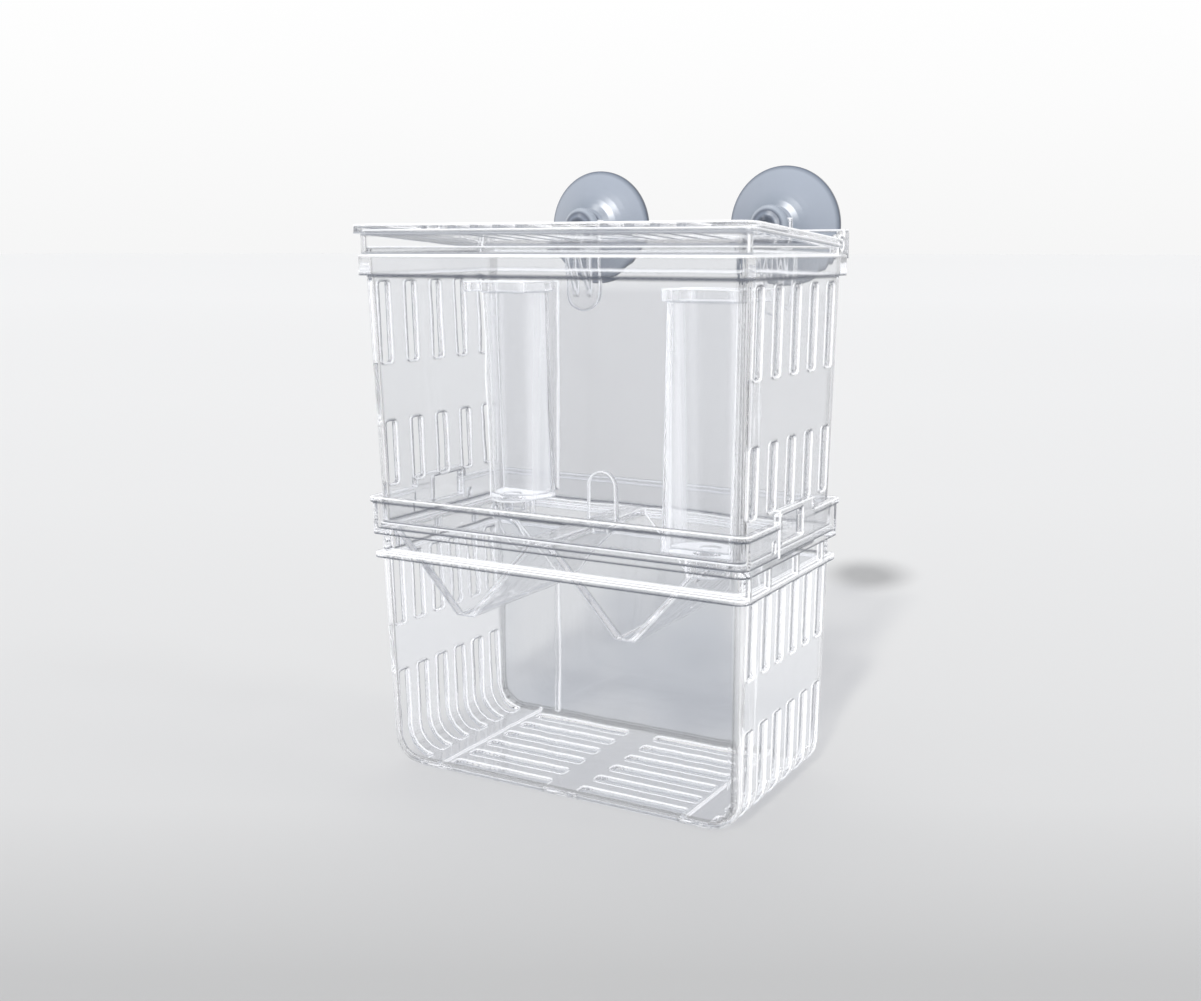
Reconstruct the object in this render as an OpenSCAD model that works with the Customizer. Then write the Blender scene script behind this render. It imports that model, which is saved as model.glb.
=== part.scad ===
// Two-storey fish breeding box in clear styrene, hung by suction cups.
// The origin is the middle of the lower box's underside, the front faces -Y
// and the suction cups are at the back, on +Y.

/* [Boxes] */
// Outer width of the upper collar
box_w = 130; // [116:1:180]
// Outer depth of the upper collar
box_d = 70; // [62:1:100]
// Wall thickness of both boxes
wall = 1.8; // [1.4:0.1:2.2]
// Radius of the boxes' upright corners
corner_r = 3; // [2.4:0.2:5]
// Height of the lower box, collar included
lower_h = 86; // [76:1:120]
// Height of the lower box's collar above its seat
collar_h = 10; // [8:0.5:14]
// Height of the grooved shoulder under the lower collar
shoulder_h = 9; // [7:0.5:12]
// Thickness of the shoulder's lower flange
flange_h = 1.5; // [1:0.1:2]
// Height of the upper box from its foot to its rim
upper_h = 83.6; // [76:0.2:120]
// Height of the band round the top of the upper box
band_h = 6; // [4:0.5:10]
// Height of the rim that stands above the band
rim_h = 2.6; // [1.6:0.2:4]
// Step of that rim inside the band
rim_step = 2.1; // [1.9:0.1:2.4]
// Step of the upper wall inside the band
band_step = 1.5; // [1.5:0.1:3]
// Lean of the upper walls over their whole height, each side
upper_draft = 2.1; // [1.8:0.1:3]
// Step of the lower collar inside the upper band
collar_step = 1.2; // [1:0.1:1.3]
// Step of the lower wall inside its collar
lower_step = 1.9; // [1.6:0.1:3]
// Lean of the lower walls over their whole height, each side
lower_draft = 1.3; // [1:0.1:3]
// Radius where the side walls run into the floor
heel_r = 10; // [6:0.5:14]
// Width of the seat inside the lower collar
seat_w = 3.4; // [2.6:0.2:5]

/* [Slots] */
// Width of a wall slot
slot_w = 4.8; // [2:0.2:5.4]
// Radius in the corners of a wall slot
slot_r = 0.9; // [0.4:0.1:1]
// Slots in each row of an upper side wall
upper_slots = 5; // [3:1:6]
// Distance from slot to slot in the upper box
upper_pitch = 12.6; // [8:0.2:13]
// Slots in each row of a lower side wall
lower_slots = 6; // [3:1:6]
// Distance from slot to slot in the lower box
lower_pitch = 9.8; // [7:0.2:10]
// Height of the plain strip between two rows of slots
plain_h = 18; // [10:1:20]
// Plain wall between the lower slots of the lower box
lower_plain_h = 15; // [10:1:20]
// Width of a floor slot
floor_slot_w = 4; // [1.6:0.2:5]
// Slots in each column of the floor
floor_rows = 6; // [4:1:6]
// Distance from floor slot to floor slot
floor_pitch = 9.4; // [6:0.2:9.8]
// Columns of floor slots
floor_columns = 2; // [1:1:4]
// Plain band between two columns of floor slots
floor_band = 11; // [4:0.5:14]

/* [Lid] */
// Overhang of the lid's lip past the upper band
lip_out = 1.2; // [0.8:0.1:2]
// Thickness of the lid plate
lid_t = 1.4; // [1:0.1:2]
// Depth of the lip below the lid plate
lip_drop = 1.3; // [1:0.1:1.5]
// Slope of the closed lid, rising to the front, in degrees
lid_slope = 4; // [3:0.25:6]
// Diameter of the lid's hinge pins
pin_d = 3; // [2:0.1:3.4]
// Running clearance of a pin in its ear, on the radius
pin_fit = 0.08; // [0.05:0.01:0.09]
// Thickness of a hinge ear
ear_t = 2.6; // [2:0.1:3]
// Height of the raised back wall above the band
back_rise = 7.5; // [6.8:0.1:10]
// Gap between moving faces
gap = 0.3; // [0.2:0.05:0.4]

/* [Fry trap] */
// Thickness of the trap's frame
trap_t = 2; // [1.4:0.1:2.6]
// Thickness of a sloping panel
panel_t = 1.4; // [1:0.1:2]
// Depth of a trough below the frame
trough_h = 25; // [18:1:32]
// Width of the slit along the bottom of a trough
slit_w = 2.4; // [1.6:0.1:4]
// Width of the web between the troughs
web_w = 5; // [4:0.5:8]
// Radius of the finger tab
tab_r = 5; // [4:0.25:8]
// Height of the finger tab above the frame
tab_h = 16; // [9:0.5:18]

/* [Feed tubes] */
// Width of a half-round tube
tube_w = 22; // [18:0.5:24]
// Depth of a tube from the wall
tube_depth = 14; // [12:0.5:18]
// Wall of a tube
tube_t = 1.4; // [1:0.1:2]
// Distance from a tube's middle to the band's outer face beside it
tube_in = 16; // [15.8:0.2:20]
// Drop of the tube's top flange below the band's seat
tube_drop = 8.6; // [6:0.2:14]
// Thickness of a tube's top flange
flange_t = 3.4; // [2:0.2:5]
// Outer diameter of the ring that takes a tube's foot
ring_d = 14; // [11:0.2:14]
// Bore of that ring
ring_bore = 9; // [6:0.2:9.4]

/* [Suction cups] */
// Outer diameter of a suction cup
cup_d = 38; // [30:1:45]
// Depth of a cup from its rim to its shoulder
cup_h = 9.2; // [7:0.2:14]
// Distance of a cup from the middle of the box
cup_x = 34.5; // [26:0.5:38]
// Height of the cups' middle above the band
cup_rise = 9; // [7:0.2:12]
// Diameter of a cup's neck
neck_d = 6.6; // [5:0.2:8]
// Diameter of a cup's knob
knob_d = 13; // [10:0.5:15]
// Reach of a hanger behind the back wall
hanger_reach = 11; // [9:0.5:16]
// Width of a hanger's tongue
tongue_w = 13; // [12:0.5:18]
// Length of a tongue below the cup's middle
tongue_h = 28; // [16:0.5:36]
// Thickness of a hanger
hanger_t = 1.8; // [1.4:0.1:2.4]

/* [Hidden] */
$fn = 48;
hull_fn = 24;
heel_fn = 16;
eps = 0.01;
over = 1;

// Heights of the stack
seat_z = lower_h - collar_h;
shoulder_z = seat_z - shoulder_h;
foot_z = seat_z + trap_t;
rim_z = foot_z + upper_h;
band_z = rim_z - rim_h;
band_low_z = band_z - band_h;
back_z = band_z + back_rise;

// Distances from the band's outer face in to other faces
foot_in = band_step + upper_draft;
collar_in = collar_step;
lower_in = collar_step + lower_step;
base_in = lower_in + lower_draft;

// Top of the lowest side slots, and ribs on the back walls
low_top = 29;
rib_w = 1.6;
rib_x = box_w / 2 - 29;

// Finger frames on the lower collar
frame_w = 25;
frame_h = 12;
frame_bar = 1.6;
frame_out = 0.4;
window_w = 15;
window_h = 8;

// Lid and hinge
hinge_y = box_d / 2 - 5.5;
hinge_z = band_z + 3;
ear_r = pin_d / 2 + pin_fit + 1.4;
ear_in = box_w / 2 - 3;
lid_half_w = box_w / 2 + lip_out;
lid_front = hinge_y + box_d / 2 + lip_out;
lip_back = ear_r + 0.7;
skirt_t = rim_step - gap - 0.2;
vent_w = 3;

// Plain margin of the floor inside its round edges, and its ribs
floor_margin = 8;
floor_rib_w = 1.2;

// Troughs
trough_x = (box_w - 2 * foot_in - 2 * web_w) / 4 - 0.3;
trough_half = trough_x - web_w / 2;
trough_d = box_d - 2 * (collar_in + wall + seat_w + gap);
// Both troughs stand to the left, which leaves a plain strip beside the front tube
end_gap = gap + 1;
trough_shift = trough_x + trough_half - (box_w / 2 - collar_in - wall - seat_w - end_gap);

// Tubes and the rings under them
tube_x = box_w / 2 - tube_in;
ring_y = -(box_d / 2 - collar_in - wall - seat_w - gap - ring_d / 2);
ring_x = tube_x - 1;
tube_y = -(box_d / 2 - foot_in - wall - gap - 0.2);
tube_top_z = band_z - tube_drop;
tube_lean = atan(upper_draft / upper_h);
spout_d = ring_bore - 2 * gap;
spout_t = 1;
spout_h = 4;

// Suction cups
cup_z = band_z + cup_rise;
plate_y = box_d / 2 + hanger_reach;
knob_h = 4.6;
neck_fit = 0.1;
hook_fit = 0.15;
shelf_z = cup_z - knob_d / 2 - 1.5 - hanger_t;

clear = [0.86, 0.89, 0.92, 0.45];
soft_grey = [0.62, 0.66, 0.71];

// Rectangle with round corners, centred
module round_rect(w, d, r) {
    square([w - 2 * r, d], center = true);
    square([w, d - 2 * r], center = true);
    for (x = [-1, 1], y = [-1, 1])
        translate([x * (w / 2 - r), y * (d / 2 - r)]) circle(r);
}

// Upright slab of the box's outline, inset from the band's outer face
module slab(inset, z0, z1, r = corner_r) {
    translate([0, 0, z0]) linear_extrude(z1 - z0)
        round_rect(box_w - 2 * inset, box_d - 2 * inset, max(r, 0.6));
}

// Tapered block with round upright corners: inset in0 at z0 and in1 at z1
module taper(in0, in1, z0, z1, r) {
    hull() for (x = [-1, 1], y = [-1, 1]) {
        translate([x * (box_w / 2 - in0 - r), y * (box_d / 2 - in0 - r), z0])
            cylinder(r = r, h = eps, $fn = hull_fn);
        translate([x * (box_w / 2 - in1 - r), y * (box_d / 2 - in1 - r), z1 - eps])
            cylinder(r = r, h = eps, $fn = hull_fn);
    }
}

// The same block with a round edge along its bottom, wide at the sides
module tub(in0, in1, z0, z1, r, heel) {
    hull() for (x = [-1, 1], y = [-1, 1]) {
        for (turn = [0 : 22.5 : 90])
            translate([x * (box_w / 2 - in0 - heel + (heel - r) * sin(turn)),
                y * (box_d / 2 - in0 - r), z0 + heel - (heel - r) * cos(turn)])
                sphere(r, $fn = heel_fn);
        translate([x * (box_w / 2 - in1 - r), y * (box_d / 2 - in1 - r), z1 - eps])
            cylinder(r = r, h = eps, $fn = heel_fn);
    }
}

// Outline of a slot from y = low to y = high, with corners of radius r
module slot_shape(w, low, high, r) {
    translate([0, (low + high) / 2]) {
        square([w - 2 * r, high - low], center = true);
        square([w, high - low - 2 * r], center = true);
        for (x = [-1, 1], y = [-1, 1])
            translate([x * (w / 2 - r), y * ((high - low) / 2 - r)]) circle(r, $fn = 24);
    }
}

// Slots through both side walls, between two heights, as deep as asked
module side_slots(count, pitch, z0, z1, depth) {
    for (side = [0, 1], i = [0 : count - 1])
        mirror([side, 0, 0]) translate([box_w / 2 - depth, (i - (count - 1) / 2) * pitch, 0])
            rotate([90, 0, 90]) linear_extrude(depth + over) slot_shape(slot_w, z0, z1, slot_r);
}

// Slots through the floor, in columns across the box
module floor_slots() {
    span = box_w - 2 * (base_in + heel_r + wall + floor_margin);
    column_w = (span - (floor_columns - 1) * floor_band) / floor_columns;
    for (c = [0 : floor_columns - 1], i = [0 : floor_rows - 1])
        translate([(c - (floor_columns - 1) / 2) * (column_w + floor_band),
            (i - (floor_rows - 1) / 2) * floor_pitch, -over])
            rotate(90) linear_extrude(wall + 2 * over)
                slot_shape(floor_slot_w, -column_w / 2, column_w / 2, slot_r);
}

// Finger frame on one side of the lower collar, standing above its rim
module finger_frame() {
    x_in = box_w / 2 - collar_in - wall;
    translate([x_in, -frame_w / 2, seat_z])
        cube([wall + frame_out, frame_w, frame_h + frame_bar]);
}

// Window of a finger frame, nearer its front post
module finger_window() {
    translate([box_w / 2 - collar_in - wall - over, frame_bar - frame_w / 2, seat_z + 4])
        cube([wall + 2 * over, window_w, window_h]);
    // Narrow slit beside the frame
    translate([box_w / 2 - collar_in - wall - over, -frame_w / 2 - 3, seat_z + 2])
        cube([wall + 2 * over, 1.2, 3]);
}

// Grooved shoulder under the lower collar: a core with a flange and upright webs
module shoulder() {
    slab(lower_in, shoulder_z, seat_z);
    slab(collar_in + 0.3, shoulder_z, shoulder_z + flange_h);
    for (turn = [0, 180], y = [-30, -16.7, 3, 22]) rotate(turn)
        translate([box_w / 2 - lower_in - over, y - 0.7, shoulder_z])
            cube([lower_in + over - collar_in - 0.4, 1.4, shoulder_h]);
}

module lower_box() {
    color(clear) difference() {
        union() {
            difference() {
                union() {
                    tub(base_in, lower_in, 0, shoulder_z + over, corner_r, heel_r);
                    shoulder();
                    slab(collar_in, seat_z - 1.6, lower_h);
                    // Rib round the collar's top edge
                    slab(collar_in - 0.5, lower_h - 1.6, lower_h);
                    for (turn = [0, 180]) rotate(turn) finger_frame();
                }
                tub(base_in + wall, lower_in + wall, wall, shoulder_z + 2, corner_r - 1.4,
                    heel_r - wall);
                slab(collar_in + wall + seat_w, shoulder_z, lower_h, corner_r - 1.4);
                slab(collar_in + wall, seat_z, lower_h + frame_h, corner_r - 1);
            }
            floor_ribs();
        }
        side_slots(lower_slots, lower_pitch, -slot_w, low_top, base_in + heel_r);
        side_slots(lower_slots, lower_pitch, low_top + lower_plain_h, shoulder_z - 1.2,
            base_in + wall + 2);
        floor_slots();
        for (turn = [0, 180]) rotate(turn) finger_window();
    }
    // Upright ribs inside the back wall
    color(clear) for (side = [-1, 1])
        translate([side * rib_x - rib_w / 2, box_d / 2 - base_in - wall - 0.4, wall])
            rotate([-atan(lower_draft / shoulder_z), 0, 0]) cube([rib_w, 1.4, shoulder_z - 4]);
}

// Low ribs that close the slotted field of the floor on both sides
module floor_ribs() {
    for (side = [-1, 1])
        translate([side * (box_w / 2 - base_in - heel_r - wall - floor_margin + 2) - floor_rib_w / 2,
            base_in + wall - box_d / 2, wall - eps])
            cube([floor_rib_w, box_d - 2 * (base_in + wall), 0.8]);
}

// One sloping panel, from the frame down to the slit, in the X-Z plane
module panel_shape() {
    polygon([[slit_w / 2, -trough_h], [slit_w / 2 + panel_t * 1.4, -trough_h],
        [trough_half + panel_t * 0.4, 0], [trough_half - panel_t, 0]]);
}

module trough() {
    for (side = [0, 1]) mirror([side, 0, 0])
        rotate([90, 0, 0]) linear_extrude(trough_d, center = true) panel_shape();
    // Three-cornered ends, with the bottom cut square
    for (end = [-1, 1]) translate([0, end * (trough_d - panel_t) / 2, 0])
        rotate([90, 0, 0]) linear_extrude(panel_t, center = true)
            polygon([[-slit_w / 2 - eps, -trough_h], [slit_w / 2 + eps, -trough_h],
                [trough_half, 0], [-trough_half, 0]]);
}

// Places of the two rings: front right and rear left
module at_rings() {
    for (turn = [0, 180]) rotate(turn) translate([ring_x, ring_y, 0]) children();
}

module fry_trap() {
    trap_in = collar_in + wall + gap;
    color(clear) difference() {
        union() {
            difference() {
                slab(trap_in, seat_z, foot_z, corner_r - 1);
                for (side = [-1, 1]) translate([side * trough_x + trough_shift, 0, seat_z - over])
                    linear_extrude(trap_t + 2 * over)
                        square([2 * (trough_half - panel_t), trough_d - 2 * panel_t], center = true);
            }
            for (side = [-1, 1]) translate([side * trough_x + trough_shift, 0, seat_z + eps]) trough();
            // Rings that take the feet of the tubes
            at_rings() translate([0, 0, seat_z - 4]) cylinder(d = ring_d, h = trap_t + 4);
            // Finger tab on a pad beside the web
            translate([trough_shift, -tab_r, seat_z]) cube([tab_r - trough_shift, 2 * tab_r, trap_t]);
            translate([0, 0, foot_z + tab_h - tab_r]) rotate([90, 0, 0])
                cylinder(r = tab_r, h = trap_t, center = true);
            translate([-tab_r, -trap_t / 2, foot_z - eps]) cube([2 * tab_r, trap_t, tab_h - tab_r + eps]);
        }
        at_rings() translate([0, 0, seat_z - 18]) cylinder(d = ring_bore, h = 18 + 2 * trap_t);
    }
}

// Hinge ear with its bore, at the right-hand end of the back wall
module ear() {
    back = box_d / 2 - hinge_y;
    difference() {
        translate([ear_in, hinge_y, hinge_z]) {
            rotate([0, 90, 0]) cylinder(r = ear_r, h = ear_t);
            translate([0, -ear_r, band_z - hinge_z - 1])
                cube([ear_t, ear_r + back, hinge_z - band_z + 1]);
            // Post behind the open lid
            translate([0, lid_t + 0.6, 0]) cube([ear_t, back - lid_t - 0.6, back_z - hinge_z]);
        }
        translate([ear_in - over, hinge_y, hinge_z]) rotate([0, 90, 0])
            cylinder(d = pin_d + 2 * pin_fit, h = ear_t + 2 * over);
    }
}

module upper_box() {
    inner_r = corner_r - 1.2;
    color(clear) {
        difference() {
            union() {
                difference() {
                    union() {
                        taper(foot_in, band_step, foot_z, band_z, corner_r);
                        slab(0, band_low_z, band_z);
                        slab(rim_step, band_z - over, rim_z);
                    }
                    taper(foot_in + wall, band_step + wall, foot_z - over, rim_z + over, inner_r);
                }
                // Back wall raised behind the lid
                translate([-ear_in - 1, box_d / 2 - wall, band_z - 2])
                    cube([2 * ear_in + 2, wall, back_z - band_z + 2]);
            }
            side_slots(upper_slots, upper_pitch, band_low_z - 26.5, band_low_z - 2, foot_in + wall + 2);
            side_slots(upper_slots, upper_pitch, foot_z + 11, band_low_z - 26.5 - plain_h,
                foot_in + wall + 2);
            // Rim cut away where the ears and the lid's hinge side stand
            translate([-box_w / 2, hinge_y - ear_r - 1, band_z])
                cube([box_w, box_d / 2 - wall - hinge_y + ear_r + 1, rim_h + 2]);
        }
        for (side = [0, 1]) mirror([side, 0, 0]) ear();
        // Upright ribs inside the back wall
        for (side = [-1, 1])
            translate([side * rib_x - rib_w / 2, box_d / 2 - foot_in - wall - 0.4, foot_z + 3])
                rotate([-atan(upper_draft / upper_h), 0, 0]) cube([rib_w, 1.4, upper_h - 14]);
    }
}

// Half disc on a straight strip: flat side on y = 0, round side at y = depth
module tube_shape(half_w, depth) {
    intersection() {
        union() {
            translate([-half_w, 0]) square([2 * half_w, depth - half_w]);
            translate([0, depth - half_w]) circle(half_w);
        }
        translate([-half_w - over, 0]) square([2 * half_w + 2 * over, depth + over]);
    }
}

// Half-round column that leans outwards with the side wall, x from the tube's middle
module tube_column(half_w, inset, z0, z1) {
    intersection() {
        translate([tube_x, tube_y + inset, tube_top_z]) rotate([0, tube_lean, 0])
            translate([0, 0, -upper_h]) linear_extrude(upper_h + 2 * over)
                tube_shape(half_w, tube_depth - 2 * inset);
        translate([0, -box_d / 2, z0]) cube([box_w / 2, box_d / 2, z1 - z0]);
    }
}

// Half-round tube against the front wall, with a spout into the ring of the trap
module feed_tube() {
    half_w = tube_w / 2;
    foot = foot_z + gap;
    low = tube_top_z - flange_t;
    flange_back = tube_y + tube_depth + 0.8;
    // Inset of the leaning wall's inner face at the flange
    wall_in = foot_in + wall - upper_draft * (low - foot_z + over) / (upper_h + 2 * over);
    color(clear) difference() {
        union() {
            tube_column(half_w, 0, foot, tube_top_z);
            // Top flange, close to both walls
            intersection() {
                slab(wall_in + 0.05, low, tube_top_z);
                translate([tube_x - half_w - 0.5, -box_d / 2, low - over])
                    cube([tube_w + 2, box_d / 2 + flange_back, flange_t + 2 * over]);
            }
            translate([ring_x, ring_y, foot - spout_h]) cylinder(d = spout_d, h = spout_h + over);
        }
        tube_column(half_w - tube_t, tube_t, foot + tube_t, tube_top_z + over);
        translate([ring_x, ring_y, foot - spout_h - over])
            cylinder(d = spout_d - 2 * spout_t, h = spout_h + tube_t + 2 * over);
    }
}

module feed_tube_front() { feed_tube(); }
module feed_tube_rear() { rotate(180) feed_tube(); }

// Outline of the lid seen from above, hinge line at y = 0, front at -lid_front
module lid_shape(inset, back) {
    w = 2 * (lid_half_w - inset);
    d = lid_front - inset - back;
    r = corner_r + lip_out - inset / 2;
    translate([0, -back - d / 2]) {
        translate([0, r / 2]) square([w, d - r], center = true);
        translate([0, -r / 2]) square([w - 2 * r, d - r], center = true);
        for (side = [-1, 1]) translate([side * (w / 2 - r), -d / 2 + r]) circle(r);
    }
}

module lid() {
    leaf = ear_in - 0.5;
    color(clear) {
        translate([0, hinge_y, hinge_z]) rotate([-lid_slope, 0, 0]) {
            difference() {
                union() {
                    linear_extrude(lid_t) lid_shape(0, lip_back);
                    translate([0, 0, -lip_drop]) linear_extrude(lip_drop + eps) difference() {
                        lid_shape(0, lip_back);
                        lid_shape(lip_out + rim_step - gap, -1);
                    }
                    // Leaf between the ears, with a round knuckle on the pin line
                    translate([-leaf, -lip_back - 2, 0]) cube([2 * leaf, lip_back + 2, lid_t]);
                    rotate([0, 90, 0]) cylinder(r = lid_t, h = 2 * leaf, center = true);
                    rotate([0, 90, 0]) cylinder(d = pin_d, h = 2 * (ear_in + ear_t - 0.4), center = true);
                }
                for (side = [-1, 1], i = [0 : 3])
                    translate([side * (14 + 8 * i), -lid_front / 2, -over])
                        linear_extrude(lid_t + 2 * over) slot_shape(vent_w, -12, 12, slot_r);
            }
        }
        // Front skirt down to the band
        lid_skirt();
    }
}

module lid_skirt() {
    front_y = -box_d / 2 + 0.2;
    w = box_w - 2;
    top = hinge_z + (hinge_y - front_y) * tan(lid_slope);
    r = 3;
    translate([0, 0, band_z + gap]) linear_extrude(top - band_z - gap) difference() {
        translate([0, front_y + r]) round_rect(w, 2 * r, r - eps);
        translate([0, front_y + skirt_t + r]) round_rect(w - 2 * skirt_t, 2 * r, r - skirt_t);
        translate([-box_w, front_y + r]) square([2 * box_w, box_d]);
    }
}

// Side view of a hanger: y to the back, z up, in the box's own heights
module hanger_side() {
    leg_y = box_d / 2 + hook_fit;
    hook_y = box_d / 2 - wall - hook_fit - hanger_t;
    tongue_low = cup_z - tongue_h;
    translate([hook_y, back_z]) square([leg_y + hanger_t - hook_y, hanger_t]);
    translate([hook_y, back_z - 2]) square([hanger_t, 2 + eps]);
    translate([leg_y, shelf_z]) square([hanger_t, back_z - shelf_z + eps]);
    translate([leg_y, shelf_z]) square([plate_y + hanger_t - leg_y, hanger_t]);
    translate([plate_y, tongue_low + tongue_w / 2])
        square([hanger_t, cup_z + 2.4 - tongue_low - tongue_w / 2]);
}

// Clear hanger that hooks over the raised back wall and carries a cup by its neck
module cup_hanger(side) {
    tongue_low = cup_z - tongue_h;
    color(clear) translate([side * cup_x, 0, 0]) difference() {
        union() {
            rotate([90, 0, 90]) linear_extrude(tongue_w, center = true) hanger_side();
            // Round end of the tongue
            translate([0, plate_y, tongue_low + tongue_w / 2]) rotate([-90, 0, 0])
                cylinder(d = tongue_w, h = hanger_t);
            // Two gussets between the shelf and the tongue
            for (rib = [-1, 1]) translate([rib * 2.6 - 0.5, 0, 0])
                rotate([90, 0, 90]) linear_extrude(1)
                    polygon([[plate_y + eps, tongue_low + 5], [plate_y + eps, shelf_z + eps],
                        [plate_y - 6, shelf_z + eps]]);
        }
        translate([0, plate_y - over, cup_z]) rotate([-90, 0, 0])
            cylinder(d = neck_d + 2 * neck_fit, h = hanger_t + 2 * over);
        translate([-neck_d / 2 - neck_fit, plate_y - over, cup_z])
            cube([neck_d + 2 * neck_fit, hanger_t + 2 * over, 4]);
    }
}

module cup_hanger_left() { cup_hanger(-1); }
module cup_hanger_right() { cup_hanger(1); }

// Suction cup, turned about its own axis; y grows from the knob to the cup's rim
module cup_profile() {
    shoulder = gap + hanger_t + gap;
    knob_r = knob_d / 2;
    neck_r = neck_d / 2;
    rim_y = shoulder + cup_h;
    bell = [for (i = [0 : 8]) let (t = i / 8)
        [neck_r + 1.2 + (cup_d / 2 - neck_r - 1.2) * t, shoulder + (cup_h - 1) * pow(t, 1.25)]];
    hollow = [for (i = [8 : -1 : 0]) let (t = i / 8)
        [(cup_d / 2 - 0.9) * t, shoulder + 2.6 + (cup_h - 2.6) * pow(t, 1.5)]];
    knob = [for (a = [90 : -15 : 0]) [knob_r * cos(a), -knob_h * sin(a) * 0.75 - 1.2]];
    polygon(concat(knob, [[knob_r - 0.6, 0], [neck_r, 0], [neck_r, shoulder]],
        bell, [[cup_d / 2, rim_y]], hollow));
}

module suction_cup(side) {
    color(soft_grey) translate([side * cup_x, plate_y - gap, cup_z])
        rotate([-90, 0, 0]) rotate_extrude($fn = 64) cup_profile();
}

module suction_cup_left() { suction_cup(-1); }
module suction_cup_right() { suction_cup(1); }

lower_box();
fry_trap();
upper_box();
feed_tube_front();
feed_tube_rear();
lid();
cup_hanger_left();
cup_hanger_right();
suction_cup_left();
suction_cup_right();
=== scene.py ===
import math

import bpy
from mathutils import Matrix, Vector

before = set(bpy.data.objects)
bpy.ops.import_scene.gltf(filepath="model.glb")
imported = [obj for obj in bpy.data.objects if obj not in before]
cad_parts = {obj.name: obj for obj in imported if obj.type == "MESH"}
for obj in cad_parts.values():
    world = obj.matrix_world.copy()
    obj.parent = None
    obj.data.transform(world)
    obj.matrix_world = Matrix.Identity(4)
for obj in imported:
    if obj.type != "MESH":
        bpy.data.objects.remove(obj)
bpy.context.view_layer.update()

# ---------------------------------------------------------------- camera, in metres and degrees
IMAGE_W = 1201
IMAGE_H = 1001
FOCAL_PX = 1334.55
PRINCIPAL_X = 667.86
PRINCIPAL_Y = 469.83
CAMERA_AT = (0.20741, -0.34509, 0.16070)
CAMERA_TURN = 28.21
CAMERA_DIP = 9.39
SENSOR_MM = 36.0
NEAREST_SEEN = 0.01
FURTHEST_SEEN = 50

# ---------------------------------------------------------------- studio, greys from 0 to 255
# The sky's grey goes by the height of the line of sight, the floor's by metres behind the box.
# The floor's darker greys in front of the box are painted shade, a falloff of light painted on
# the floor.
SKY_GREYS = [(0.0, 246), (0.036, 248), (0.106, 252), (0.174, 255)]
WORLD_TONE = (0.97, 0.98, 1.0, 1)
WORLD_LIGHT = 0.45
FLOOR_GREYS_AND_PAINTED_SHADE = [(-2.0, 241), (-0.9, 239), (-0.5, 233), (-0.33, 216), (-0.24, 199), (-0.2, 196),
               (-0.129, 201), (-0.09, 214), (-0.029, 227), (0.06, 231), (0.198, 234),
               (0.448, 238), (1.03, 241), (3.9, 245)]
FLOOR_BACKWARDS = (-0.4727, 0.8812, 0)
FLOOR_NEAR = -2.0
FLOOR_FAR = 4.0
FLOOR_ACROSS = 80
FLOOR_AT = (0, 0, -0.0002)
FLOOR_ROUGHNESS = 0.9
# Name, place, strength, and how wide the light is in degrees.
LAMPS = [("front_lamp", (0.21, -0.98, 0.75), 2.1, 4),
         ("right_lamp", (1.2, 0.3, 1.0), 0.30, 12),
         ("top_lamp", (-0.3, 0.4, 1.4), 0.30, 24)]

# ---------------------------------------------------------------- waves and haze of a moulding
WAVE_STRETCH = (1.0, 1.0, 0.35)
WAVE_DETAIL = 1.5
HAZE_SCALE = 40
HAZE_DETAIL = 4
HAZE_FROM, HAZE_TO = 0.45, 0.75
# Scale and depth of the waves, then the least and the most roughness.
STYRENE_MOULD = (90, 0.00016, 0.015, 0.05)
CUP_MOULD = (60, 0.0001, 0.3, 0.36)

# ---------------------------------------------------------------- clear styrene
CLEAR_IOR = 1.42
CLEAR_SPECULAR = 0.8
SHADOW_TINT = (0.93, 0.932, 0.94, 1)
WALLS_CROSSED = 64
VEILS_CROSSED = 96
TRAPPED_AFTER = 9
# Where the back wall and the side walls begin, and how far the back wall's painted shade and
# the side walls' haze with painted glow take to fade in height.
BACK_WALL_Y = (0.026, 0.031)
SIDE_WALL_X = (0.058, 0.061)
FADE_HEIGHT = 0.004
# Clouds in the back wall's painted shade.
CLOUD_SCALE = 22
CLOUD_DETAIL = 2
CLOUD_FROM, CLOUD_TO = 0.35, 0.65
# The turn is 1 on an open face and falls towards an edge: first the line, a painted dark line
# of shade, then the edge, a painted highlight. How far from an edge that begins is each
# material's own reach.
BEVEL_SAMPLES = 6
LINE_TURN = (0.994, 0.988)
EDGE_TURN = (0.968, 0.944)
PAINTED_LINE_DARK = 0.08
EDGE_SHARE = 0.95
# A glow of the edges, which are no lamp: painted light.
PAINTED_EDGE_GLOW = 0.42
EDGE_ROUGHNESS = 0.15
# Edges are painted: those that lean away from one fixed light side are dark, the others white,
# and the dark is paler in the thin floor bars.
LIGHT_SIDE = (0.35, -0.45, 0.8)
LIGHT_LEAN = (-0.36, -0.16)
FLOOR_BARS_Z = (0.016, 0.01)
EDGE_LIGHT = (0.98, 0.985, 1.0, 1)
EDGE_SHADE = (0.06, 0.07, 0.095, 1)
LID_EDGE_SHADE = (0.26, 0.275, 0.31, 1)
THIN_EDGE_SHADE = (0.45, 0.465, 0.5, 1)
# Painted highlights: greys across a half-round tube, from its left side to its right, give pale
# upright bands, and the sheen paints white streaks where its wall turns away.
TUBE_PAINTED_BANDS = [(0.0, 0), (0.05, 0), (0.07, 175), (0.10, 175), (0.13, 30), (0.19, 105),
              (0.25, 35), (0.55, 15), (0.80, 45), (0.90, 140), (0.94, 140), (0.97, 40)]
TUBE_SHEEN = (0.62, 0.85)

# ---------------------------------------------------------------- soft PVC of the cups
CUP_IOR = 1.6
CUP_ANISOTROPY = 0.9
CUP_MIDDLE = (0.5, 0.0, 0.5)
CUP_SPAN = (2.0, 0.0, 2.0)
GLASS_SIDE = (0.0, 0.3)
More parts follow.
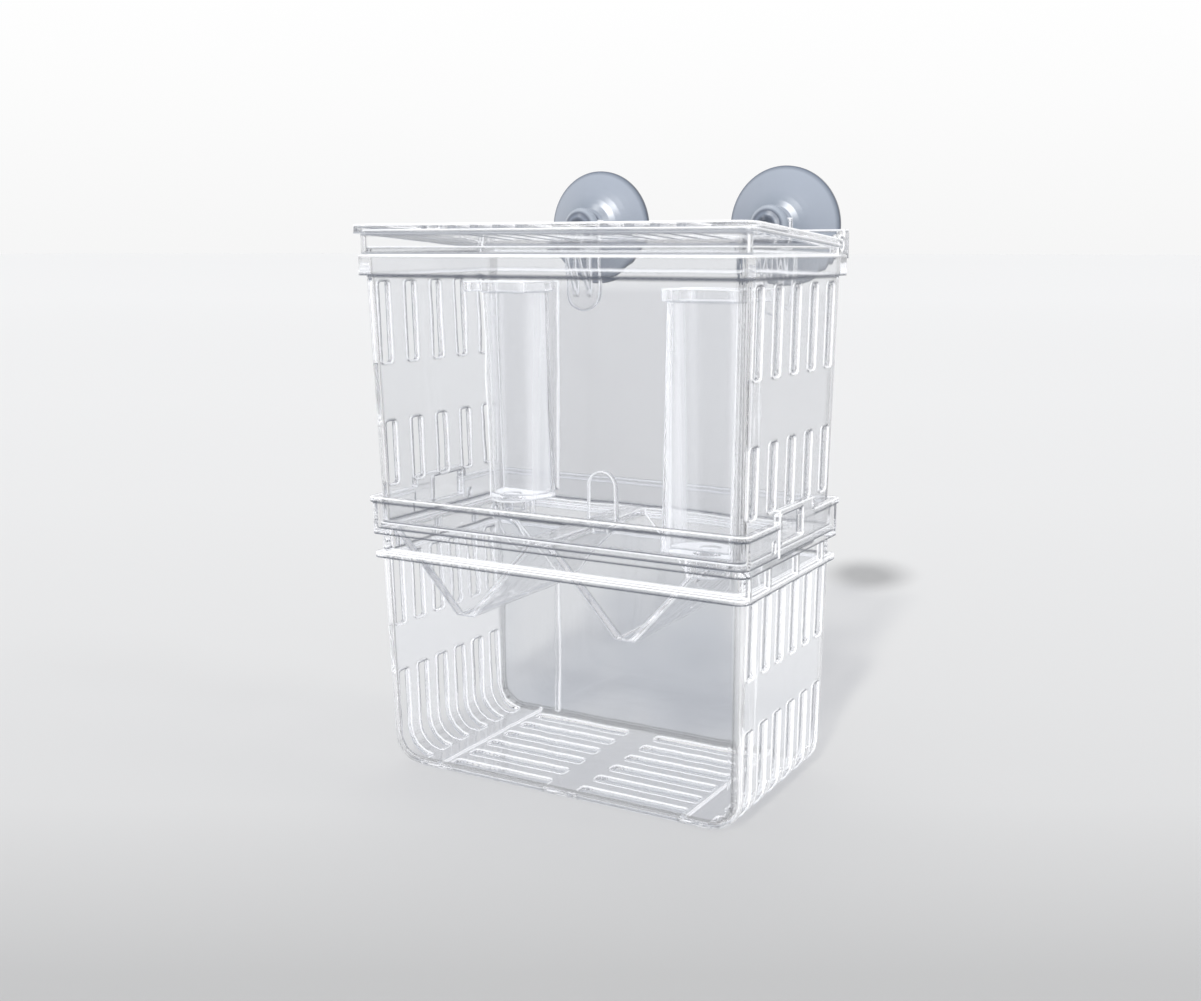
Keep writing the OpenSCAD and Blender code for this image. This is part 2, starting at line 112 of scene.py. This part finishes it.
# Colours from the hub out to the rim, on the side of the hub and on the side of the glass. The
# white dot in the middle of the hub is a painted highlight, and the darker rim is painted
# shade.
HUB_RINGS_AND_PAINTED_LIGHT = [(0.0, (226, 231, 238)), (0.045, (226, 231, 238)), (0.07, (62, 70, 84)),
             (0.13, (70, 78, 92)), (0.19, (128, 137, 152)), (0.25, (92, 100, 115)),
             (0.29, (170, 178, 190)), (0.36, (148, 157, 170)), (0.6, (160, 168, 181)),
             (0.93, (164, 172, 185)), (0.985, (120, 129, 144)), (1.0, (80, 88, 102))]
GLASS_SIDE_RINGS = [(0.0, (158, 166, 180)), (0.94, (150, 159, 173)), (1.0, (120, 129, 144))]


def srgb(value):
    """Linear value of one sRGB channel given from 0 to 255."""
    c = value / 255.0
    return c / 12.92 if c <= 0.04045 else ((c + 0.055) / 1.055) ** 2.4


def colour(r, g, b):
    """Linear RGBA of an sRGB colour given from 0 to 255."""
    return (srgb(r), srgb(g), srgb(b), 1.0)


def grey(value):
    """Linear RGBA of a grey given from 0 to 255."""
    return colour(value, value, value)


# ---------------------------------------------------------------- camera
def make_camera():
    """Camera from the front right, a little above the box, with its shifted frame."""
    data = bpy.data.cameras.new("camera")
    data.sensor_width = SENSOR_MM
    data.sensor_fit = "HORIZONTAL"
    data.lens = FOCAL_PX * SENSOR_MM / IMAGE_W
    data.shift_x = (IMAGE_W / 2 - PRINCIPAL_X) / IMAGE_W
    data.shift_y = (PRINCIPAL_Y - IMAGE_H / 2) / IMAGE_W
    data.clip_start = NEAREST_SEEN
    data.clip_end = FURTHEST_SEEN
    camera = bpy.data.objects.new("camera", data)
    camera.location = CAMERA_AT
    camera.rotation_euler = (math.radians(90 - CAMERA_DIP), 0, math.radians(CAMERA_TURN))
    bpy.context.scene.collection.objects.link(camera)
    bpy.context.scene.camera = camera


# ---------------------------------------------------------------- node helpers
def node(tree, kind, **settings):
    """New node of this kind with these settings."""
    made = tree.nodes.new(kind)
    for name, value in settings.items():
        setattr(made, name, value)
    return made


def feed(tree, source, target):
    """Links an output to this input, or sets a plain value on it."""
    if isinstance(source, bpy.types.NodeSocket):
        tree.links.new(source, target)
    else:
        target.default_value = source


def fill(tree, made, **inputs):
    """Feeds the named inputs of a node, with _ where the name has a space."""
    for name, source in inputs.items():
        feed(tree, source, made.inputs[name.replace("_", " ")])
    return made


def maths(tree, operation, *sources):
    """Answer of one Math node."""
    made = node(tree, "ShaderNodeMath", operation=operation)
    for source, target in zip(sources, made.inputs):
        feed(tree, source, target)
    return made.outputs["Value"]


def vectors(tree, operation, *sources, gives="Vector"):
    """Answer of one Vector Math node."""
    made = node(tree, "ShaderNodeVectorMath", operation=operation)
    for source, target in zip(sources, made.inputs):
        feed(tree, source, target)
    return made.outputs[gives]


def fade(tree, value, low, high):
    """0 at low, 1 at high, and smooth between them."""
    made = node(tree, "ShaderNodeMapRange", interpolation_type="SMOOTHSTEP")
    return fill(tree, made, Value=value, From_Min=low, From_Max=high).outputs["Result"]


def ramp(tree, value, stops):
    """Colour of this value on a ramp of (position, linear RGBA) stops."""
    made = node(tree, "ShaderNodeValToRGB")
    elements = made.color_ramp.elements
    elements.remove(elements[-1])
    elements[0].position, elements[0].color = stops[0]
    for place, tone in stops[1:]:
        elements.new(place).color = tone
    return fill(tree, made, Fac=value).outputs["Color"]


def colour_mix(tree, share, one, other):
    """Goes from one colour to the other as the share goes from 0 to 1."""
    made = node(tree, "ShaderNodeMix", data_type="RGBA")
    # The colour sockets of a Mix node share their names with others, so they go by number.
    for source, number in ((share, 0), (one, 6), (other, 7)):
        feed(tree, source, made.inputs[number])
    return made.outputs[2]


def shader_mix(tree, share, one, other):
    """Goes from one shader to the other as the share goes from 0 to 1."""
    made = node(tree, "ShaderNodeMixShader")
    for source, number in ((share, 0), (one, 1), (other, 2)):
        feed(tree, source, made.inputs[number])
    return made.outputs[0]


def axes(tree, source):
    """X, Y and Z of a vector."""
    return fill(tree, node(tree, "ShaderNodeSeparateXYZ"), Vector=source).outputs


def shader_group(name, takes, gives):
    """Empty shader group with these named sockets, and its two ends."""
    group = bpy.data.node_groups.new(name, "ShaderNodeTree")
    for way, sockets in (("INPUT", takes), ("OUTPUT", gives)):
        for socket, kind in sockets.items():
            group.interface.new_socket(socket, in_out=way, socket_type="NodeSocket" + kind)
    return group, node(group, "NodeGroupInput").outputs, node(group, "NodeGroupOutput").inputs


def place_group(tree, group, **inputs):
    """One use of a shader group, with its own values."""
    return fill(tree, node(tree, "ShaderNodeGroup", node_tree=group), **inputs).outputs


# ---------------------------------------------------------------- world, floor and lamps
def seen_directly(tree):
    """1 for rays that show the picture, a reflection or a view through clear plastic."""
    rays = node(tree, "ShaderNodeLightPath").outputs
    shown = maths(tree, "MAXIMUM", rays["Is Camera Ray"], rays["Is Glossy Ray"])
    return maths(tree, "MAXIMUM", shown, rays["Is Transmission Ray"])


def make_world():
    """White room that is seen as it is, and lights the box more softly."""
    world = bpy.data.worlds.new("studio")
    world.use_nodes = True
    tree = world.node_tree
    tree.nodes.clear()
    place = node(tree, "ShaderNodeTexCoord").outputs["Generated"]
    sky = ramp(tree, axes(tree, place)["Z"], [(at, grey(value)) for at, value in SKY_GREYS])
    light = fill(tree, node(tree, "ShaderNodeBackground"), Color=WORLD_TONE,
                 Strength=WORLD_LIGHT)
    shown = fill(tree, node(tree, "ShaderNodeBackground"), Color=sky)
    both = shader_mix(tree, seen_directly(tree), light.outputs[0], shown.outputs[0])
    fill(tree, node(tree, "ShaderNodeOutputWorld"), Surface=both)
    bpy.context.scene.world = world


def floor_material():
    """Pale paper floor with painted shade, darker in front of the box and lighter towards the
    back.
    """
    made = bpy.data.materials.new("pale_floor")
    made.use_nodes = True
    tree = made.node_tree
    place = node(tree, "ShaderNodeTexCoord").outputs["Object"]
    along = vectors(tree, "DOT_PRODUCT", place, FLOOR_BACKWARDS, gives="Value")
    span = fill(tree, node(tree, "ShaderNodeMapRange"), Value=along, From_Min=FLOOR_NEAR,
                From_Max=FLOOR_FAR).outputs["Result"]
    length = FLOOR_FAR - FLOOR_NEAR
    stops = [((at - FLOOR_NEAR) / length, grey(value)) for at, value in FLOOR_GREYS_AND_PAINTED_SHADE]
    fill(tree, tree.nodes["Principled BSDF"], Base_Color=ramp(tree, span, stops),
         Roughness=FLOOR_ROUGHNESS, Specular_IOR_Level=0.0)
    return made


def make_floor():
    """Wide floor just under the box, so that the two never share a plane."""
    bpy.ops.mesh.primitive_plane_add(size=FLOOR_ACROSS, location=FLOOR_AT)
    floor = bpy.context.object
    floor.name = "floor"
    floor.data.materials.append(floor_material())


def make_lamps():
    """Suns that shine from their places towards the box."""
    for name, place, strength, width in LAMPS:
        data = bpy.data.lights.new(name, "SUN")
        data.energy = strength
        data.angle = math.radians(width)
        lamp = bpy.data.objects.new(name, data)
        lamp.location = place
        lamp.rotation_euler = (-Vector(place)).to_track_quat("-Z", "Y").to_euler()
        bpy.context.scene.collection.objects.link(lamp)


# ---------------------------------------------------------------- shader groups
def moulded_surface_group():
    """Slow waves and faint haze of an injection moulding."""
    group, takes, gives = shader_group(
        "moulded_surface", {"Wave Scale": "Float", "Smooth": "Float", "Haze": "Float"},
        {"Height": "Float", "Roughness": "Float"})
    place = node(group, "ShaderNodeTexCoord").outputs["Object"]
    long_way = fill(group, node(group, "ShaderNodeMapping"), Vector=place, Scale=WAVE_STRETCH)
    wave = fill(group, node(group, "ShaderNodeTexNoise"), Vector=long_way.outputs[0],
                Scale=takes["Wave Scale"], Detail=WAVE_DETAIL)
    cloud = fill(group, node(group, "ShaderNodeTexNoise"), Vector=place, Scale=HAZE_SCALE,
                 Detail=HAZE_DETAIL)
    spread = fill(group, node(group, "ShaderNodeMapRange"), Value=cloud.outputs["Fac"],
                  From_Min=HAZE_FROM, From_Max=HAZE_TO, To_Min=takes["Smooth"],
                  To_Max=takes["Haze"])
    feed(group, wave.outputs["Fac"], gives["Height"])
    feed(group, spread.outputs["Result"], gives["Roughness"])
    return group


def tint_and_painted_shade_group():
    """Tint of the clear plastic, with painted shade as a deeper, cloudy tint in the back wall
    below a height.
    """
    group, takes, gives = shader_group(
        "tint_and_painted_shade", {"Front": "Color", "Back": "Color", "Below": "Float", "Calm": "Float"},
        {"Tint": "Color"})
    place = node(group, "ShaderNodeTexCoord").outputs["Object"]
    at = axes(group, place)
    cloud = fill(group, node(group, "ShaderNodeTexNoise"), Vector=place, Scale=CLOUD_SCALE,
                 Detail=CLOUD_DETAIL)
    spread = node(group, "ShaderNodeMapRange", interpolation_type="SMOOTHSTEP")
    fill(group, spread, Value=cloud.outputs["Fac"], From_Min=CLOUD_FROM, From_Max=CLOUD_TO,
         To_Min=takes["Calm"])
    faded = maths(group, "SUBTRACT", takes["Below"], FADE_HEIGHT)
    wall = maths(group, "MULTIPLY", fade(group, at["Y"], *BACK_WALL_Y),
                 fade(group, at["Z"], takes["Below"], faded))
    share = maths(group, "MULTIPLY", wall, spread.outputs["Result"])
    feed(group, colour_mix(group, share, takes["Front"], takes["Back"]), gives["Tint"])
    return group


def painted_edge_light_group():
    """Colour of a wall with a painted dark line of shade beside its edges, and of the edges
    themselves, painted light or dark by how they lean to one fixed light side.
    """
    group, takes, gives = shader_group(
        "painted_edge_light",
        {"Rounded": "Vector", "Wall": "Color", "Line": "Color", "Far Side": "Color"},
        {"Wall": "Color", "Edge": "Color"})
    normal = node(group, "ShaderNodeNewGeometry").outputs["Normal"]
    turn = vectors(group, "DOT_PRODUCT", takes["Rounded"], normal, gives="Value")
    lined = colour_mix(group, fade(group, turn, *LINE_TURN), takes["Wall"], takes["Line"])
    lean = vectors(group, "SUBTRACT", takes["Rounded"], normal)
    lit = vectors(group, "DOT_PRODUCT", lean, LIGHT_SIDE, gives="Value")
    place = node(group, "ShaderNodeTexCoord").outputs["Object"]
    low = fade(group, axes(group, place)["Z"], *FLOOR_BARS_Z)
    shade = colour_mix(group, low, takes["Far Side"], THIN_EDGE_SHADE)
    feed(group, lined, gives["Wall"])
    feed(group, colour_mix(group, fade(group, lit, *LIGHT_LEAN), shade, EDGE_LIGHT),
         gives["Edge"])
    return group


# ---------------------------------------------------------------- clear styrene
def mould_finish(tree, surface, group, scale, depth, smooth, haze):
    """Waves and haze on one surface shader."""
    finish = place_group(tree, group, Wave_Scale=scale, Smooth=smooth, Haze=haze)
    bump = fill(tree, node(tree, "ShaderNodeBump"), Strength=1.0, Distance=depth,
                Height=finish["Height"])
    fill(tree, surface, Normal=bump.outputs[0], Roughness=finish["Roughness"])


# These three set how much of the edge shader, a painted highlight and glow, is mixed in. A
# shader mix takes nothing from a
# group, so they are built in each material.
def side_haze_and_painted_glow(tree, amount, below):
    """Faint milkiness and painted glow of the slotted side walls below this height, nought
    elsewhere.
    """
    at = axes(tree, node(tree, "ShaderNodeTexCoord").outputs["Object"])
    outwards = maths(tree, "ABSOLUTE", at["X"])
    side = maths(tree, "MULTIPLY", fade(tree, outwards, *SIDE_WALL_X),
                 fade(tree, at["Z"], below, below - FADE_HEIGHT))
    return maths(tree, "MULTIPLY", side, amount)


def painted_tube_highlights(tree):
    """Painted highlights: white streaks where a round wall turns away, and pale upright bands
    near its sides.
    """
    facing = fill(tree, node(tree, "ShaderNodeLayerWeight"), Blend=0.5).outputs["Facing"]
    across = axes(tree, node(tree, "ShaderNodeTexCoord").outputs["Generated"])["X"]
    bands = ramp(tree, across, [(at, grey(value)) for at, value in TUBE_PAINTED_BANDS])
    return maths(tree, "MAXIMUM", fade(tree, facing, *TUBE_SHEEN), bands)


def painted_edge_share(tree, rounded, extra):
    """How much of the surface shows the painted edge highlight, with this much extra on open
    faces.
    """
    normal = node(tree, "ShaderNodeNewGeometry").outputs["Normal"]
    turn = vectors(tree, "DOT_PRODUCT", rounded, normal, gives="Value")
    share = maths(tree, "MULTIPLY_ADD", fade(tree, turn, *EDGE_TURN), EDGE_SHARE, extra)
    share.node.use_clamp = True
    return share


def lets_lamps_through(tree, surface):
    """Lamps shine through the plastic with a faint tint, instead of being stopped by it."""
    rays = node(tree, "ShaderNodeLightPath").outputs
    lamp = maths(tree, "MAXIMUM", rays["Is Shadow Ray"], rays["Is Diffuse Ray"])
    trapped = maths(tree, "GREATER_THAN", rays["Ray Depth"], TRAPPED_AFTER)
    veil = fill(tree, node(tree, "ShaderNodeBsdfTransparent"), Color=SHADOW_TINT)
    return shader_mix(tree, maths(tree, "MAXIMUM", lamp, trapped), surface, veil.outputs[0])


def clear_styrene(name, groups, front, back, reach, below=1.0, calm=1.0, haze=0.0,
                  round_wall=False, far_side=EDGE_SHADE):
    """Clear plastic with painted highlights and glow along its edges, and a thin darker line of
    painted shade beside each.

    The front and back tints are linear, and the deeper back tint is painted shade; reach and
    below are in metres, calm is the least share of the back tint that its clouds leave, and
    haze is the side walls' milkiness with painted glow.
    """
    surface_waves, tint_and_painted_shade, painted_edge_light = groups
    made = bpy.data.materials.new(name)
    made.use_nodes = True
    tree = made.node_tree
    bevel = node(tree, "ShaderNodeBevel", samples=BEVEL_SAMPLES)
    rounded = fill(tree, bevel, Radius=reach).outputs["Normal"]
    tint = place_group(tree, tint_and_painted_shade, Front=(*front, 1), Back=(*back, 1), Below=below,
                       Calm=calm)
    line = (*[channel * PAINTED_LINE_DARK for channel in front], 1)
    tones = place_group(tree, painted_edge_light, Rounded=rounded, Wall=tint["Tint"], Line=line,
                        Far_Side=far_side)
    surface = fill(tree, tree.nodes["Principled BSDF"], Base_Color=tones["Wall"],
                   IOR=CLEAR_IOR, Transmission_Weight=1.0, Specular_IOR_Level=CLEAR_SPECULAR)
    mould_finish(tree, surface, surface_waves, *STYRENE_MOULD)
    # The edge shader paints highlight and shade, and glows though it is no lamp.
    edge = fill(tree, node(tree, "ShaderNodeBsdfPrincipled"), Base_Color=tones["Edge"],
                Emission_Color=tones["Edge"], Emission_Strength=PAINTED_EDGE_GLOW, IOR=CLEAR_IOR,
                Roughness=EDGE_ROUGHNESS)
    extra = 0.0
    if haze:
        extra = side_haze_and_painted_glow(tree, haze, below)
    if round_wall:
        extra = painted_tube_highlights(tree)
    both = shader_mix(tree, painted_edge_share(tree, rounded, extra), surface.outputs[0],
                      edge.outputs[0])
    fill(tree, tree.nodes["Material Output"], Surface=lets_lamps_through(tree, both))
    return made


# ---------------------------------------------------------------- suction cups
def soft_pvc(surface_waves):
    """Soft blue-grey PVC of the cups, turned rings round the hub, a white dot of painted
    highlight on the hub and a dark thin lip of painted shade.
    """
    made = bpy.data.materials.new("soft_pvc")
    made.use_nodes = True
    tree = made.node_tree
    place = node(tree, "ShaderNodeTexCoord").outputs
    from_axis = vectors(tree, "SUBTRACT", place["Generated"], CUP_MIDDLE)
    flat = vectors(tree, "MULTIPLY", from_axis, CUP_SPAN)
    radius = vectors(tree, "LENGTH", flat, gives="Value")
    rings = ramp(tree, radius, [(at, colour(*tone)) for at, tone in HUB_RINGS_AND_PAINTED_LIGHT])
    plain = ramp(tree, radius, [(at, colour(*tone)) for at, tone in GLASS_SIDE_RINGS])
    behind = fade(tree, axes(tree, place["Normal"])["Y"], *GLASS_SIDE)
    turned = node(tree, "ShaderNodeTangent", direction_type="RADIAL", axis="Y")
    surface = fill(tree, tree.nodes["Principled BSDF"], IOR=CUP_IOR,
                   Base_Color=colour_mix(tree, behind, rings, plain),
                   Tangent=turned.outputs[0], Anisotropic=CUP_ANISOTROPY)
    mould_finish(tree, surface, surface_waves, *CUP_MOULD)
    return made


# ---------------------------------------------------------------- pieces and their finishes
def dress():
    """Gives every piece its finish; the trap and the hangers share the inner one."""
    groups = (moulded_surface_group(), tint_and_painted_shade_group(), painted_edge_light_group())
    # The back tints paint shade into the back walls, bluest in the lower box.
    upper = clear_styrene("clear_styrene_upper", groups, front=(0.92, 0.925, 0.935),
                          back=(0.80, 0.805, 0.825), reach=0.0015, below=0.15, calm=0.85,
                          haze=0.05)
    lower = clear_styrene("clear_styrene_lower", groups, front=(0.96, 0.963, 0.97),
                          back=(0.79, 0.82, 0.865), reach=0.0012, below=0.07, calm=0.35,
                          haze=0.27)
    inner = clear_styrene("clear_styrene_inner", groups, front=(0.985, 0.987, 0.99),
                          back=(0.97, 0.972, 0.977), reach=0.0013, far_side=THIN_EDGE_SHADE)
    cover = clear_styrene("clear_styrene_lid", groups, front=(0.96, 0.963, 0.97),
                          back=(0.9, 0.905, 0.92), reach=0.0015, far_side=LID_EDGE_SHADE)
    tube = clear_styrene("clear_styrene_tube", groups, front=(0.985, 0.987, 0.99),
                         back=(0.97, 0.972, 0.977), reach=0.0009, round_wall=True,
                         far_side=THIN_EDGE_SHADE)
    soft = soft_pvc(groups[0])
    finishes = {"lower_box": lower, "upper_box": upper, "lid": cover,
                "feed_tube_front": tube, "feed_tube_rear": tube,
                "suction_cup_left": soft, "suction_cup_right": soft}
    for name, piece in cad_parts.items():
        piece.data.materials.clear()
        piece.data.materials.append(finishes.get(name, inner))


def set_light_paths():
    """Enough bounces for light to cross every clear wall, and no caustics."""
    cycles = bpy.context.scene.cycles
    cycles.max_bounces = WALLS_CROSSED
    cycles.transmission_bounces = WALLS_CROSSED
    cycles.glossy_bounces = WALLS_CROSSED
    cycles.transparent_max_bounces = VEILS_CROSSED
    cycles.caustics_refractive = False
    cycles.caustics_reflective = False


bpy.context.scene.view_settings.view_transform = "Standard"
set_light_paths()
make_camera()
make_world()
make_floor()
make_lamps()
dress()
